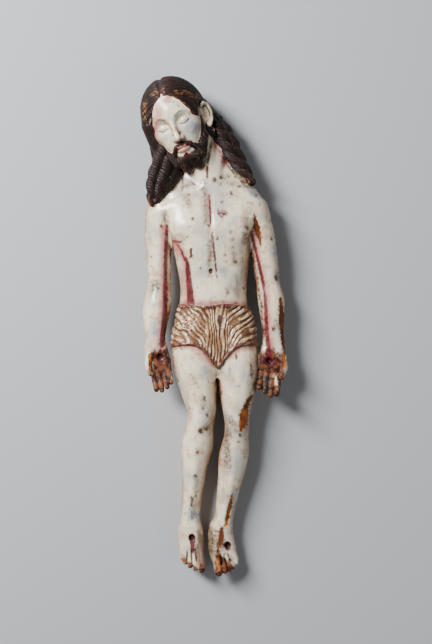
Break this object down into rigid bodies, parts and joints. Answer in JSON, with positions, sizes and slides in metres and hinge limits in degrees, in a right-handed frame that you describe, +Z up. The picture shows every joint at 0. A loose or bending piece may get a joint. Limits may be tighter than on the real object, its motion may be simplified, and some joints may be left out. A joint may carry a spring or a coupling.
{
  "type": "deposition christ figure",
  "caption": "Small carved and painted wooden figure of a dead man lying on his back, head sunk to one side, long ringlets, forked beard and a pleated loincloth.",
  "frame": {"origin": "under the middle of the figure's bounding box, on the surface that it lies on", "axes": "+Y along the body towards the head, +X to the figure's own left, +Z up out of its chest"},
  "size_m": [0.1349, 0.4599, 0.0694],
  "materials": {
    "painted_wood": "glossy ivory paint over carved wood, worn through to brown wood in places, with dark brown hair, a gilt and cream cloth and dark red wounds"
  },
  "bodies": {
    "root": {"carved_figure": "painted_wood"}
  },
  "joints": []
}
